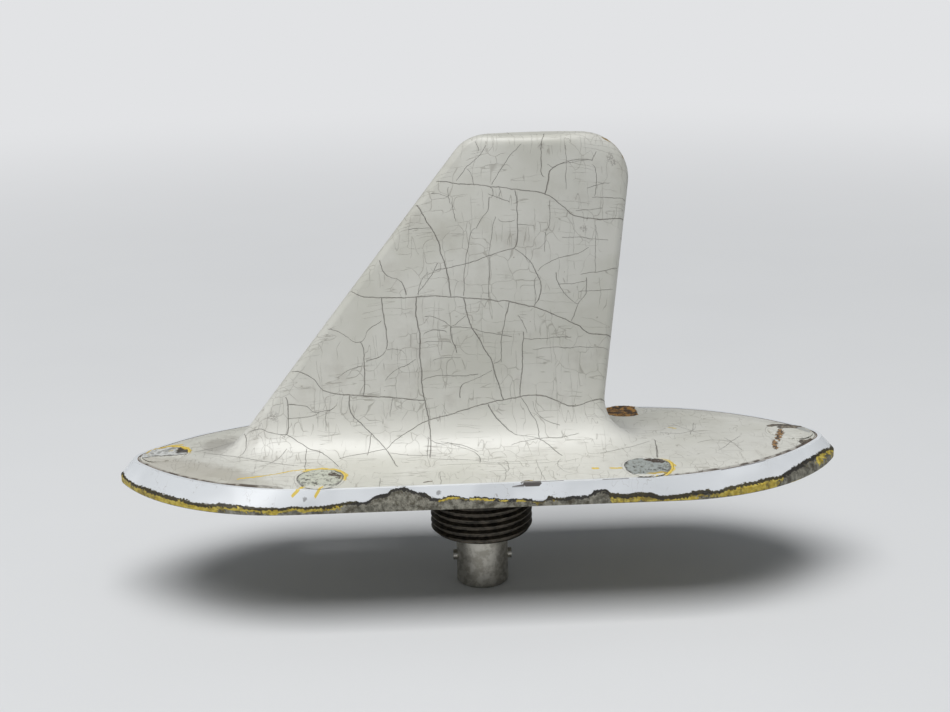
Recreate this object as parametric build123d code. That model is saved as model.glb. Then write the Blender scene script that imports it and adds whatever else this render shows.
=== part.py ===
"""Swept blade antenna for the aircraft distance measuring band, in millimetres.

The mounting face of the base plate lies in the XY plane at Z = 0. The fin stands up
along +Z, its sloping leading edge points to -X (forward) and the feed connector hangs
below the base on the Z axis. Every separate piece is written as one STEP file.
"""
import os
from math import sin, cos, tan, sqrt, radians

from build123d import *

# Base plate: a long straight sided plate with pointed, rounded ends
plate_length = 133.0        # tip to tip on the mounting face
plate_width = 44.0
plate_end_arc = 36.0        # radius of the arcs that close each end
plate_tip_round = 5.0
lip_height = 1.2            # upright edge under the bevel
bevel_tip = 2.5             # how far the bevel leans in at the tips
bevel_side = 1.1            # and along the sides
ridge_end_arc = 44.0
ridge_tip_round = 5.0
ridge_height = 4.0
rim_land = 0.7              # flat top of the rim between bevel and pocket
pocket_floor = 2.6          # height of the pocket floor that carries the moulding

# Adhesive that beds the moulding in the pocket
film_bed = 0.2
film_side = 0.15

# Moulded blade skin: a flange with a crowned top, and a hollow swept fin
crown_inset = (0.0, 1.4, 4.0)       # distance in from the edge of the flange
crown_height = (0.0, 0.4, 0.75)     # height over the rim at each of those
fin_top = 62.0              # height of the top edge over the mounting face
fin_lead_x = -49.9          # leading edge where it would meet the mounting face
fin_lead_slope = 38.1       # degrees the leading edge leans back from upright
fin_trail_x = 21.9          # trailing edge where it would meet the mounting face
fin_trail_slope = 6.1       # degrees the trailing edge leans back from upright
fin_half_root = 5.0         # half thickness at the mounting face
fin_half_top = 3.4          # half thickness at the top
fin_edge_root = 2.0         # radius of the leading and trailing edges at the root
fin_edge_top = 1.7
fin_lead_corner = 7.0       # radius between leading edge and top
fin_trail_corner = 8.4      # radius between top and trailing edge
fin_top_round = 1.6         # small radius round the top edge
fin_cap_steps = (12.0, 10.7, 9.4, 8.1, 6.8, 5.6, 4.5, 3.4, 2.4, 1.6, 0.9, 0.4, 0.1, 0.0)   # sections, down from the top
fin_root_fillet = 7.8
skin_wall = 1.6
skin_wall_top = 2.4

# Mounting holes: four beside the fin and one near each tip
side_hole_pitch = 58.0      # along the base
side_hole_edge = 5.7        # from the long edge of the plate
end_hole_edge = 8.3         # from the tip of the plate
screw_hole = 4.5
sink_diameter = 8.3
sink_angle = 100.0
ferrule_diameter = 9.1
ferrule_gap = 0.05

# Threaded boss under the base, held by a thin nut inside
boss_diameter = 19.05
boss_reach = 12.2           # mounting face to the free end of the boss
boss_chamfer = 0.9
boss_collar = 0.8           # plain collar against the gasket
boss_relief = 1.2           # width of the plain groove between collar and thread
boss_relief_depth = 0.8
boss_gasket_thick = 0.5
boss_recess_gap = 0.3       # round the boss where its gasket is let into the plate
neck_step = 1.525           # width of the shoulder round the neck
neck_gap = 0.1
neck_stand = 0.2            # how far the neck stands over its nut
nut_recess_floor = 1.9
nut_rim = 0.275             # how far the nut reaches past the boss
nut_thick = 1.8
nut_gap = 0.4
nut_slot = 2.0
well_wall = 1.2             # wall of the neck round the bore above the web
web_top = -5.0
web_seat = -10.2            # face of the web that the jack is drawn against

# Bayonet jack, fitted from below and held by a ring nut in the boss
jack_reach = 22.7           # mounting face to the open end of the jack
jack_barrel = 9.7
jack_mouth = 8.15
jack_mouth_depth = 8.2
jack_collar = 12.8
jack_collar_gap = 0.2
jack_gasket_thick = 0.5
jack_stem = 8.8
jack_stem_gap = 0.1
jack_stem_top = -1.2
lug_diameter = 2.0
lug_span = 11.0
lug_back = 5.2              # open end of the jack to the centre of the lugs
insulator_diameter = 6.5
insulator_nose = 4.9
insulator_nose_length = 6.0
insulator_tail = 5.0
insulator_tail_top = 0.5
contact_diameter = 2.1
contact_socket = 1.4
contact_socket_depth = 5.0
contact_slot = 0.2
pin_diameter = 1.3
pin_top = 4.0
ring_nut_gap = 0.3          # round the jack's ring nut in the bore of the boss
ring_nut_thick = 2.6
washer_thick = 0.5

# Feed from the jack up to the radiating plate
post_diameter = 3.0
post_bottom = 1.0
post_collar = 4.6
post_collar_thick = 0.8
post_top = 7.6
pin_gap = 0.1
bead_thick = 2.4
bead_gap = 0.05

# Radiating plate and its clip, strap and fasteners
sheet = 0.8
radiator_margin_lead = 6.5  # from the leading edge of the fin, along X
radiator_margin_trail = 5.0
radiator_top = 56.0
radiator_foot_half = 6.5
radiator_bottom = 9.4
radiator_flare_z = 21.0     # height where the plate reaches its full width
radiator_corner = 2.5
notch_half = 2.5
notch_top = 11.6
key_hole = 5.0
clip_half = 6.5
clip_reach = 2.4
clip_top = 15.0
rivet_diameter = 1.6
rivet_head = 2.8
rivet_head_thick = 0.5
rivet_x = 4.5
rivet_z = 12.6
screw_diameter = 2.0
screw_head = 3.6
screw_head_thick = 1.1
strap_screw_head = 3.0
screw_slot = 0.5
screw_length = 2.6
strap_thick = 0.5
strap_width = 4.0
strap_x = -20.0
strap_rivet_z = 23.0
strap_foot_reach = 2.9
strap_screw_y = -1.15
strap_screw_depth = 2.1
core_gap = 0.6              # room left round the clip, post and strap


def leaf(length, width, end_arc, tip_round, inset=0.0):
    """Outline with straight sides, arcs towards each tip and a rounded tip."""
    a, b = length / 2 - inset, width / 2 - inset
    big, tip = end_arc - inset, tip_round - inset
    centre_y = big - b
    centre_x = a - tip - sqrt((big - tip) ** 2 - centre_y ** 2)
    reach = (a - tip - centre_x) / (big - tip)
    rise = centre_y / (big - tip)
    touch = (a - tip + tip * reach, tip * rise)
    half_turn = (reach, rise + 1.0)
    size = sqrt(half_turn[0] ** 2 + half_turn[1] ** 2)
    middle = (centre_x + big * half_turn[0] / size, -centre_y + big * half_turn[1] / size)
    quarter = [
        Line((0, b), (centre_x, b)),
        ThreePointArc((centre_x, b), middle, touch),
    ]
    nose = ThreePointArc(touch, (a, 0), (touch[0], -touch[1]))
    right = Curve() + quarter + nose + [mirror(e, Plane.XZ) for e in quarter]
    return make_face(right + mirror(right, Plane.YZ))


def slab(outline, bottom, top):
    return extrude(Pos(0, 0, bottom) * outline, amount=top - bottom)


def rod(diameter, bottom, top):
    return Pos(0, 0, (bottom + top) / 2) * Cylinder(diameter / 2, top - bottom)


def ring(outer, inner, bottom, top):
    return rod(outer, bottom, top) - rod(inner, bottom - 1, top + 1)


def block(x0, x1, y0, y1, z0, z1):
    return Pos((x0 + x1) / 2, (y0 + y1) / 2, (z0 + z1) / 2) * Box(x1 - x0, y1 - y0, z1 - z0)


def along_y(diameter, x, z, y0, y1):
    turned = Rot(90, 0, 0) * Cylinder(diameter / 2, y1 - y0)
    return Pos(x, (y0 + y1) / 2, z) * turned


def lead_x(z):
    return fin_lead_x + z * tan(radians(fin_lead_slope))


def trail_x(z):
    return fin_trail_x + z * tan(radians(fin_trail_slope))


def corner_centre(line_x, slope, side, top, corner, inset):
    """Where the round between a sloping edge and the top has its centre, and where it starts."""
    centre_z = top - corner
    centre_x = line_x(centre_z) + side * (inset + corner / cos(radians(slope)))
    return centre_x, centre_z, centre_z + side * corner * sin(radians(slope))


def fin_section(z, inset, top):
    """Lens shaped section of the fin at one height, with rounded ends."""
    share = z / fin_top
    half = fin_half_root + (fin_half_top - fin_half_root) * share - inset
    over = z - (top - fin_top_round)
    if over > 0:
        half -= fin_top_round - sqrt(max(fin_top_round ** 2 - over ** 2, 0))
    edge = min(max(fin_edge_root + (fin_edge_top - fin_edge_root) * share - inset, 0.5), 0.6 * half)
    ends = []
    for line_x, slope, side, corner in ((lead_x, fin_lead_slope, 1, fin_lead_corner),
                                        (trail_x, fin_trail_slope, -1, fin_trail_corner)):
        centre_x, centre_z, start = corner_centre(line_x, slope, side, top, corner - inset, inset)
        if z > start:
            ends.append(centre_x - side * sqrt(max((corner - inset) ** 2 - (z - centre_z) ** 2, 0)) + side * edge)
        else:
            ends.append(line_x(z) + side * (inset + edge))
    x0, x1 = ends
    middle = (x0 + x1) / 2
    big = (((x1 - x0) / 2) ** 2 / (half - edge) + edge + half) / 2
    across = edge * (middle - x0) / (big - edge)
    along = edge * (big - half) / (big - edge)
    corners = [(x0 - across, along), (x1 + across, along), (x1 + across, -along), (x0 - across, -along)]
    between = [(middle, half), (x1 + edge, 0), (middle, -half), (x0 - edge, 0)]
    sides = [ThreePointArc(corners[i], between[i], corners[(i + 1) % 4]) for i in range(4)]
    return Pos(0, 0, z) * make_face(Curve() + sides)


def fin_body(bottom, top, inset):
    """Fin from one height to its top: ruled flanks, then a cap with rounded corners."""
    cap = [top - below for below in fin_cap_steps]
    flanks = loft([fin_section(bottom, inset, top), fin_section(cap[0], inset, top)], ruled=True)
    return flanks + loft([fin_section(z, inset, top) for z in cap])


# Base plate: lip, bevel, rim and pocket
ridge_length, ridge_width = plate_length - 2 * bevel_tip, plate_width - 2 * bevel_side
plate_outline = leaf(plate_length, plate_width, plate_end_arc, plate_tip_round)
ridge = leaf(ridge_length, ridge_width, ridge_end_arc, ridge_tip_round)
pocket = leaf(ridge_length, ridge_width, ridge_end_arc, ridge_tip_round, rim_land)
flange_inset = rim_land + film_side


def flange_outline(inset):
    return leaf(ridge_length, ridge_width, ridge_end_arc, ridge_tip_round, flange_inset + inset)


side_holes = GridLocations(side_hole_pitch, plate_width - 2 * side_hole_edge, 2, 2)
end_holes = GridLocations(plate_length - 2 * end_hole_edge, 0, 2, 1)
hole_places = list(side_holes) + list(end_holes)
flange_bottom = pocket_floor + film_bed

base_plate = slab(plate_outline, 0, lip_height)
base_plate += loft([Pos(0, 0, lip_height) * plate_outline, Pos(0, 0, ridge_height) * ridge], ruled=True)
base_plate -= slab(pocket, pocket_floor, ridge_height + 1)
base_plate -= [place * rod(screw_hole, -1, pocket_floor + 1) for place in hole_places]
neck_diameter = boss_diameter - 2 * neck_step
nut_diameter = boss_diameter + 2 * nut_rim
base_plate -= rod(neck_diameter + 2 * neck_gap, -1, pocket_floor + 1)
base_plate -= rod(nut_diameter + 2 * nut_gap, nut_recess_floor, pocket_floor + 1)
base_plate -= rod(boss_diameter + 2 * boss_recess_gap, -1, boss_gasket_thick)
strap_screw_place = Pos(strap_x, strap_screw_y, 0)
base_plate -= strap_screw_place * rod(screw_diameter, pocket_floor - strap_screw_depth, pocket_floor + 1)

# Moulded skin: crowned flange and hollow fin in one piece
flange = slab(flange_outline(0), flange_bottom, ridge_height)
crown_steps = [Pos(0, 0, ridge_height + h) * flange_outline(i) for i, h in zip(crown_inset, crown_height)]
crown = loft(crown_steps[:2], ruled=True) + loft(crown_steps[1:], ruled=True)
flange_top = ridge_height + crown_height[-1]
fin_bottom = ridge_height + 0.2
fin = fin_body(fin_bottom, fin_top, 0)
skin = flange + crown + fin
root_edges = skin.edges().filter_by(
    lambda e: abs(e.bounding_box().min.Z - flange_top) < 1e-3 and abs(e.bounding_box().max.Z - flange_top) < 1e-3
    and max(abs(e.bounding_box().min.Y), abs(e.bounding_box().max.Y)) < fin_half_root + 0.5
)
skin = fillet(root_edges, fin_root_fillet)
cavity = fin_body(flange_bottom, fin_top - skin_wall_top, skin_wall)
nut_top = nut_recess_floor + nut_thick
neck_top = nut_top + neck_stand
nut_room = rod(nut_diameter + 2 * nut_gap, nut_recess_floor, neck_top + neck_stand)
above_holes = flange_top + fin_root_fillet
ferrule_bores = [place * rod(ferrule_diameter + 2 * ferrule_gap, 0, above_holes) for place in hole_places]
blade_skin = skin - cavity - nut_room - ferrule_bores

# Adhesive: a thin bed under the flange that also rises round its edge
bond_film = slab(pocket, pocket_floor, ridge_height) - slab(flange_outline(0), flange_bottom, ridge_height + 1)
bond_film -= extrude(fin_section(flange_bottom, skin_wall, fin_top), amount=5, both=True)
bond_film -= nut_room
bond_film -= ferrule_bores

# Countersunk ferrules, flush with the crowned flange
sink_depth = (sink_diameter - screw_hole) / 2 / tan(radians(sink_angle / 2))
ferrules = []
for place in hole_places:
    blank = (place * rod(ferrule_diameter, pocket_floor, above_holes)) & (
        slab(flange_outline(0), pocket_floor, ridge_height) + crown)
    face_height = blank.bounding_box().max.Z
    sink = Pos(0, 0, face_height - sink_depth / 2) * Cone(screw_hole / 2, sink_diameter / 2, sink_depth)
    drill = place * (rod(screw_hole, 0, above_holes) + sink + rod(sink_diameter, face_height, above_holes))
    ferrules.append(blank - drill)
hole_ferrules = Compound(children=[f.solid() for f in ferrules])

# Threaded boss with a neck through the plate, its nut and its gasket
shoulder = 0.0
boss_body = rod(boss_diameter, -boss_reach, shoulder)
boss_body = chamfer(boss_body.edges().sort_by(Axis.Z)[0], boss_chamfer)
groove_top = shoulder - boss_collar
relief = ring(boss_diameter + 2, boss_diameter - 2 * boss_relief_depth, groove_top - boss_relief, groove_top)
threaded_boss = boss_body - relief + rod(neck_diameter, shoulder, neck_top)
well_diameter = neck_diameter - 2 * well_wall
threaded_boss -= rod(well_diameter, web_top, neck_top + 1)
threaded_boss -= rod(jack_stem + 2 * jack_stem_gap, -boss_reach - 1, web_top + 1)
threaded_boss -= rod(jack_collar + 2 * jack_collar_gap, -boss_reach - 1, web_seat)
boss_gasket = ring(boss_diameter, neck_diameter, shoulder, boss_gasket_thick)
boss_nut = ring(nut_diameter, neck_diameter, nut_recess_floor, nut_top)
nut_slots = [
    Rot(0, 0, turn) * block(neck_diameter / 2 + 0.6, nut_diameter, -nut_slot / 2, nut_slot / 2,
                            nut_recess_floor - 1, nut_top + 1)
    for turn in (0, 90, 180, 270)
]
boss_nut -= nut_slots

# Bayonet jack: shell, insulator, contact and what holds it in the boss
collar_top = web_seat - jack_gasket_thick
jack_front = -jack_reach
jack_body = rod(jack_barrel, jack_front, -boss_reach)
jack_body = chamfer(jack_body.edges().sort_by(Axis.Z)[0], 0.4)
jack_body += rod(jack_collar, -boss_reach, collar_top) + rod(jack_stem, collar_top, jack_stem_top)
lug_length = (lug_span - jack_mouth) / 2 - 0.2
for side in (-1, 1):
    jack_body += Pos(side * (lug_span - lug_length) / 2, 0, jack_front + lug_back) * (
        Rot(0, 90, 0) * Cylinder(lug_diameter / 2, lug_length))
mouth_end = jack_front + jack_mouth_depth
jack_body -= rod(jack_mouth, jack_front - 1, mouth_end) + rod(insulator_diameter, mouth_end - 1, jack_stem_top + 1)
jack_gasket = ring(jack_collar - 0.2, jack_stem, collar_top, web_seat)
ring_nut_diameter = well_diameter - 2 * ring_nut_gap
jack_washer = ring(ring_nut_diameter, jack_stem, web_top, web_top + washer_thick)
ring_nut_bottom = web_top + washer_thick
jack_nut = ring(ring_nut_diameter, jack_stem, ring_nut_bottom, ring_nut_bottom + ring_nut_thick)
jack_nut -= block(-ring_nut_diameter, ring_nut_diameter, -nut_slot / 2, nut_slot / 2,
                  ring_nut_bottom + ring_nut_thick / 2, ring_nut_bottom + ring_nut_thick + 1)
nose_end = mouth_end - insulator_nose_length
contact_front = nose_end + 0.2
jack_insulator = rod(insulator_diameter, mouth_end, jack_stem_top)
jack_insulator += rod(insulator_nose, nose_end, mouth_end) + rod(insulator_tail, jack_stem_top, insulator_tail_top)
jack_insulator -= rod(contact_diameter, nose_end - 1, insulator_tail_top + 1)
jack_contact = rod(contact_diameter, contact_front, insulator_tail_top)
jack_contact += rod(pin_diameter, insulator_tail_top, pin_top)
jack_contact -= rod(contact_socket, contact_front - 1, contact_front + contact_socket_depth)
for turn in (0, 90):
    jack_contact -= Rot(0, 0, turn) * block(-contact_diameter, contact_diameter, -contact_slot / 2,
                                            contact_slot / 2, contact_front - 1,
                                            contact_front + contact_socket_depth - 1)

# Feed post over the pin, and the bead that centres it in the boss
bead_top = neck_top
bead_bottom = bead_top - bead_thick
feed_insulator = ring(well_diameter - 2 * bead_gap, post_diameter + 2 * bead_gap, bead_bottom, bead_top)
feed_post = rod(post_diameter, post_bottom, post_top) + rod(post_collar, bead_top, bead_top + post_collar_thick)
feed_post -= rod(pin_diameter + 2 * pin_gap, post_bottom - 1, pin_top + pin_gap)
feed_post -= rod(screw_diameter, post_top - screw_length, post_top + 1)

# Radiating plate in the middle of the fin
half_sheet = sheet / 2
full_left = lead_x(radiator_flare_z) + radiator_margin_lead
top_left = lead_x(radiator_top) + radiator_margin_lead
full_right = trail_x(radiator_flare_z) - radiator_margin_trail
top_right = trail_x(radiator_top) - radiator_margin_trail
plate_points = [
    (-radiator_foot_half, radiator_bottom), (-notch_half, radiator_bottom), (-notch_half, notch_top),
    (notch_half, notch_top), (notch_half, radiator_bottom), (radiator_foot_half, radiator_bottom),
    (radiator_foot_half, clip_top + 0.5), (full_right, radiator_flare_z), (top_right, radiator_top),
    (top_left, radiator_top), (full_left, radiator_flare_z), (-radiator_foot_half, clip_top + 0.5),
]
sheet_face = make_face(Polyline(*plate_points, close=True))
sheet_face = fillet(sheet_face.vertices().filter_by(lambda v: v.Y > clip_top + 1), radiator_corner)
radiator = extrude(Plane.XZ * sheet_face, amount=half_sheet, both=True)
key_places = [(2.0, 44.0), (14.0, 44.0), (14.0, 27.0)]
radiator -= [along_y(key_hole, x, z, -5, 5) for x, z in key_places]
radiator -= [along_y(rivet_diameter, x, rivet_z, -5, 5) for x in (-rivet_x, rivet_x)]
radiator -= along_y(rivet_diameter, strap_x, strap_rivet_z, -5, 5)

# Clip that joins the plate to the post: one tab under, two ears behind
clip_tab_top = post_top + sheet
radiator_clip = block(-clip_half, clip_half, -clip_reach, half_sheet + sheet, post_top, clip_tab_top)
for side in (-1, 1):
    x0, x1 = sorted((side * notch_half, side * clip_half))
    radiator_clip += block(x0, x1, half_sheet, half_sheet + sheet, clip_tab_top, clip_top)
radiator_clip -= rod(screw_diameter, post_top - 1, clip_tab_top + 1)
radiator_clip -= [along_y(rivet_diameter, x, rivet_z, -5, 5) for x in (-rivet_x, rivet_x)]


def rivet(x, z, front, back):
    body = along_y(rivet_diameter, x, z, front, back)
    body += along_y(rivet_head, x, z, front - rivet_head_thick, front)
    return body + along_y(rivet_head, x, z, back, back + rivet_head_thick)


def pan_screw(place, seat, depth, head):
    body = rod(screw_diameter, seat - depth, seat) + rod(head, seat, seat + screw_head_thick)
    body -= block(-head, head, -screw_slot / 2, screw_slot / 2,
                  seat + screw_head_thick / 2, seat + screw_head_thick + 1)
    return place * body


clip_rivets = Compound(children=[rivet(x, rivet_z, -half_sheet, half_sheet + sheet).solid()
                                 for x in (-rivet_x, rivet_x)])
feed_screw = pan_screw(Pos(0, 0, 0), clip_tab_top, screw_length, screw_head)

# Strap that grounds the radiating plate to the base plate
strap_left, strap_right = strap_x - strap_width / 2, strap_x + strap_width / 2
strap_back = half_sheet + strap_thick
ground_strap = block(strap_left, strap_right, half_sheet, strap_back, pocket_floor, strap_rivet_z + 2.2)
ground_strap += block(strap_left, strap_right, -strap_foot_reach, half_sheet, pocket_floor,
                      pocket_floor + strap_thick)
ground_strap -= strap_screw_place * rod(screw_diameter, 0, 10)
ground_strap -= along_y(rivet_diameter, strap_x, strap_rivet_z, -5, 5)
strap_rivet = rivet(strap_x, strap_rivet_z, -half_sheet, strap_back)
strap_screw = pan_screw(strap_screw_place, pocket_floor + strap_thick, strap_thick + strap_screw_depth, strap_screw_head)

# Foam that fills the fin round the radiating plate
core_bottom = neck_top + 1.6
foam_core = cavity & block(-plate_length, plate_length, -plate_width, plate_width, core_bottom, fin_top)
foam_core -= [radiator, along_y(rivet_head, strap_x, strap_rivet_z, -plate_width, plate_width)]
foam_core -= block(-clip_half - core_gap, clip_half + core_gap, -plate_width, plate_width,
                   core_bottom - 1, clip_top + core_gap)
foam_core -= block(strap_left, strap_right, -half_sheet, strap_back, core_bottom - 1, strap_rivet_z + 2.2)
foam_core -= [along_y(key_hole, x, z, -half_sheet, half_sheet) for x, z in key_places]

parts = {
    "base_plate": base_plate, "blade_skin": blade_skin, "bond_film": bond_film,
    "hole_ferrules": hole_ferrules, "threaded_boss": threaded_boss, "boss_nut": boss_nut,
    "boss_gasket": boss_gasket, "jack_body": jack_body, "jack_gasket": jack_gasket,
    "jack_washer": jack_washer, "jack_nut": jack_nut, "jack_insulator": jack_insulator,
    "jack_contact": jack_contact, "feed_insulator": feed_insulator, "feed_post": feed_post,
    "feed_screw": feed_screw, "radiator": radiator, "radiator_clip": radiator_clip,
    "clip_rivets": clip_rivets, "ground_strap": ground_strap, "strap_rivet": strap_rivet,
    "strap_screw": strap_screw, "foam_core": foam_core,
}
os.makedirs("parts", exist_ok=True)
for name, shape in parts.items():
    export_step(shape, f"parts/{name}.step")
    box = shape.bounding_box()
    print(f"{name:16s} solids {len(shape.solids())} volume {shape.volume:10.2f} "
          f"x {box.min.X:.2f}..{box.max.X:.2f} y {box.min.Y:.2f}..{box.max.Y:.2f} z {box.min.Z:.2f}..{box.max.Z:.2f}")
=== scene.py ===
import functools
import math

import bpy
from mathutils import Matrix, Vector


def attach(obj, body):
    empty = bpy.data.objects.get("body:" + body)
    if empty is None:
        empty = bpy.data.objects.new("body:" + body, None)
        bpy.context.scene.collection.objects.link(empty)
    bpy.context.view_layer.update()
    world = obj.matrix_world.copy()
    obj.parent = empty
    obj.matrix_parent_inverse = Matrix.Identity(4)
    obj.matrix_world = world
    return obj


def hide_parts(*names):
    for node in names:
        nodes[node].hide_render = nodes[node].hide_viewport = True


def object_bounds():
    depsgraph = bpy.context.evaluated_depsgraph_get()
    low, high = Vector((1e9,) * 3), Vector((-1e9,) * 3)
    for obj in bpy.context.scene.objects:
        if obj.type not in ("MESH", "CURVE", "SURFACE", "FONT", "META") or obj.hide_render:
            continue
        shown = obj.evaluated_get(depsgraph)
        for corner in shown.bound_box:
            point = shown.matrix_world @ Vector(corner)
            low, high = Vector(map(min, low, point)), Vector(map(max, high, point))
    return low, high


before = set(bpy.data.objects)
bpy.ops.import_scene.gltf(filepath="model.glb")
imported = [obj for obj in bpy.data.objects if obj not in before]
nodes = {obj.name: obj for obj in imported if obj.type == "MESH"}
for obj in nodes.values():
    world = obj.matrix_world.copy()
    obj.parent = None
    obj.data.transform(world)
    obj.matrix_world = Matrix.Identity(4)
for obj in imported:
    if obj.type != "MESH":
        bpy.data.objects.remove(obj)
cad_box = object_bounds()

# The view of the photograph: a little above the base and almost square to the fin.
camera_data = bpy.data.cameras.new("view")
camera_data.sensor_width = 36.0
camera_data.lens = 64.42
camera = bpy.data.objects.new("view", camera_data)
camera.location = (-0.01293091, -0.29973735, 0.10624575)
camera.rotation_euler = (1.29503, 0.02165015, -0.04742592)
bpy.context.scene.collection.objects.link(camera)
bpy.context.scene.camera = camera


# The blade skin is one moulding of glass cloth and resin, bonded into the base.
# It is painted cream, and the old paint has split into long cracks, with a net
# of fine ones along the weave. Yellow primer shows round the screw holes.
class Wire:
    """One socket of a finish. Arithmetic on it adds Math nodes. Lengths are in millimetres."""

    def __init__(self, socket):
        self.socket = socket

    def add(self, kind, values, output=0, **settings):
        """A new node of any kind, set first, then fed, and one of its outputs."""
        tree = self.socket.id_data
        node = tree.nodes.new(kind)
        for name, value in settings.items():
            setattr(node, name, value)
        for name, value in values.items():
            if isinstance(value, Wire):
                tree.links.new(value.socket, node.inputs[name])
            else:
                node.inputs[name].default_value = value
        return Wire(node.outputs[output])

    def math(self, operation, *others, first=None):
        values = (self if first is None else first,) + others
        return self.add("ShaderNodeMath", dict(enumerate(values)), operation=operation)

    def __add__(self, other):
        return self.math("ADD", other)

    def __sub__(self, other):
        return self.math("SUBTRACT", other)

    def __rsub__(self, other):
        return self.math("SUBTRACT", self, first=other)

    def __mul__(self, other):
        return self.math("MULTIPLY", other)

    def __truediv__(self, other):
        return self.math("DIVIDE", other)

    def __abs__(self):
        return self.math("ABSOLUTE")

    __radd__ = __add__
    __rmul__ = __mul__

    def least(self, other):
        return self.math("MINIMUM", other)

    def most(self, other):
        return self.math("MAXIMUM", other)

    def step(self, low, high):
        """0 below low and 1 above high, or the other way round where low is the higher."""
        sides = {"From Min": min(low, high), "From Max": max(low, high)}
        ends = {"To Min": 0.0, "To Max": 1.0} if low < high else {"To Min": 1.0, "To Max": 0.0}
        values = {"Value": self, **sides, **ends}
        return self.add("ShaderNodeMapRange", values, interpolation_type="SMOOTHSTEP")

    def curve(self, bends):
        """The height of a smooth line at this place. Its points run from 0 to 1, in order."""
        line = self.add("ShaderNodeFloatCurve", {"Factor": 1.0, "Value": self})
        mapping = line.socket.node.mapping
        for bend in bends[1:-1]:
            mapping.curves[0].points.new(*bend)
        for point, bend in zip(mapping.curves[0].points, bends):
            point.location = bend
            point.handle_type = "AUTO"
        mapping.extend = "HORIZONTAL"
        mapping.update()
        return line

    def axes(self):
        return [self.add("ShaderNodeSeparateXYZ", {0: self}, i) for i in range(3)]

    def at(self, *numbers):
        """A point made of three numbers or wires."""
        return self.add("ShaderNodeCombineXYZ", dict(enumerate(numbers)))

    def length(self):
        """How far this point is from the origin."""
        return self.add("ShaderNodeVectorMath", {0: self}, 1, operation="LENGTH")

    def noise(self, scale, detail=3.0, rough=0.5, output=0):
        values = {"Vector": self, "Scale": scale, "Detail": detail, "Roughness": rough}
        return self.add("ShaderNodeTexNoise", values, output)

    def over(self, under, mask):
        """This colour laid over another where the mask is 1."""
        return self.add("ShaderNodeMix", {0: mask, 6: under, 7: self}, 2, data_type="RGBA")

    def under(self, shade, mask):
        """This colour with a shade, 0 to 255, laid over it where the mask is 1."""
        return self.add("ShaderNodeMix", {0: mask, 6: self, 7: colour(*shade)}, 2, data_type="RGBA")

    def between(self, off, on):
        """A colour: one shade where this mask is 0, and another where it is 1."""
        return self.add("ShaderNodeMix", {0: self, 6: colour(*off), 7: colour(*on)}, 2, data_type="RGBA")


def colour(red, green, blue):
    """A colour as a painter reads it off a chart, 0 to 255."""
    return tuple(((c / 255 + 0.055) / 1.055) ** 2.4 for c in (red, green, blue)) + (1.0,)


def start_finish(name):
    """A new material, and its object coordinates in millimetres."""
    material = bpy.data.materials.new(name)
    material.use_nodes = True
    material.node_tree.nodes.clear()
    metres = Wire(material.node_tree.nodes.new("ShaderNodeTexCoord").outputs["Object"])
    return material, metres.add("ShaderNodeVectorMath", {0: metres, 3: 1000.0}, operation="SCALE")


def end_finish(material, base, rough, height=None, depth=0.0, metal=0.0, coat=0.0):
    """The surface shader. Where height is 1, the surface stands up by depth, in millimetres."""
    values = {"Base Color": base, "Roughness": rough, "Metallic": metal, "Coat Weight": coat,
              "Coat Roughness": 0.25}
    if height is not None:
        values["Normal"] = base.add("ShaderNodeBump", {
            "Strength": 1.0, "Distance": depth / 1000, "Height": height})
    shader = base.add("ShaderNodeBsdfPrincipled", values)
    out = material.node_tree.nodes.new("ShaderNodeOutputMaterial")
    material.node_tree.links.new(shader.socket, out.inputs["Surface"])


def dress(node, material):
    node.data.materials.clear()
    node.data.materials.append(material)


def crack(along, across, points, width):
    """Distance from a drawn line, in line widths. The points run along, then across."""
    points = sorted(points)
    low, high = points[0][0], points[-1][0]
    least, most = min(p[1] for p in points), max(p[1] for p in points)
    span = max(most - least, 0.1)
    climb = span / (high - low)
    share = along.math("MULTIPLY_ADD", 1 / (high - low), -low / (high - low))
    line = share.curve([((a - low) / (high - low), (b - least) / span) for a, b in points])
    off = abs(line.math("MULTIPLY_ADD", -span, across) - least)
    past = (abs(along - (low + high) / 2) - (high - low) / 2).most(0.0)
    return off.math("MULTIPLY_ADD", 1 / (width * math.sqrt(1 + climb * climb)), past * (1 / width))


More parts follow.
